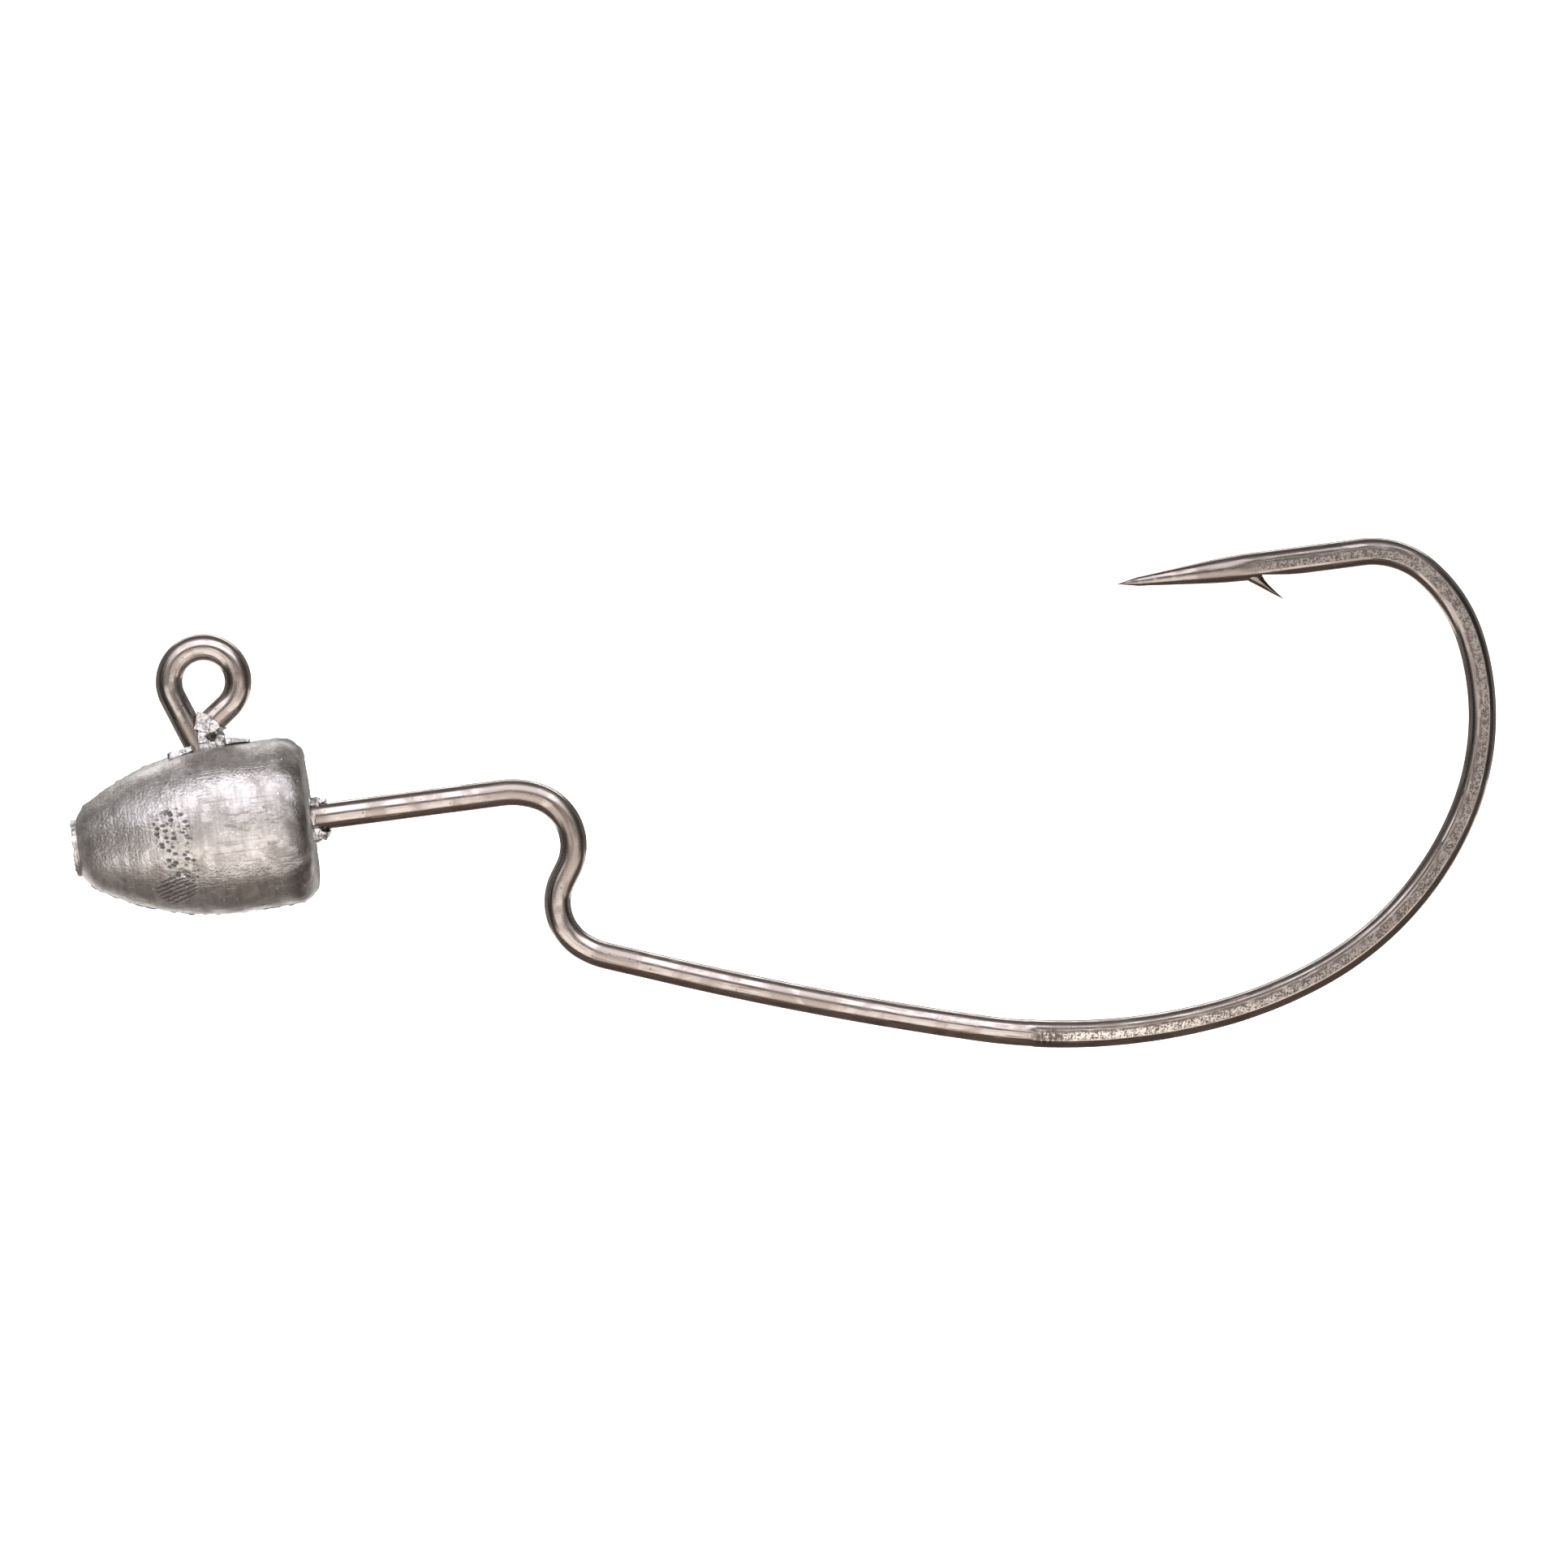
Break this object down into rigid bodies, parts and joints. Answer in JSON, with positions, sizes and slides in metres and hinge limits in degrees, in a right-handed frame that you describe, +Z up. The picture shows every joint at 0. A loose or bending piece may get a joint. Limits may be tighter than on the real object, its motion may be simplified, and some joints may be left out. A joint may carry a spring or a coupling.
{
  "type": "jig head",
  "caption": "Bullet-shaped lead jig head cast on an offset wide-gap hook, with a closed line eye standing out of its top.",
  "frame": {"origin": "centre of the line eye", "axes": "+X along the straight shank, from the nose of the lead towards the bend of the hook; +Z up, the side that the line eye and the point are on; +Y across the flat of the hook"},
  "size_m": [0.0749, 0.0088, 0.0276],
  "materials": {
    "black_nickel_wire": "bright black nickel plate, brushed grey on the forged flats",
    "cast_lead": "bare cast lead, satin, with flow marks, pits and flash"
  },
  "bodies": {
    "root": {"hook": "black_nickel_wire", "lead_head": "cast_lead"}
  },
  "joints": []
}
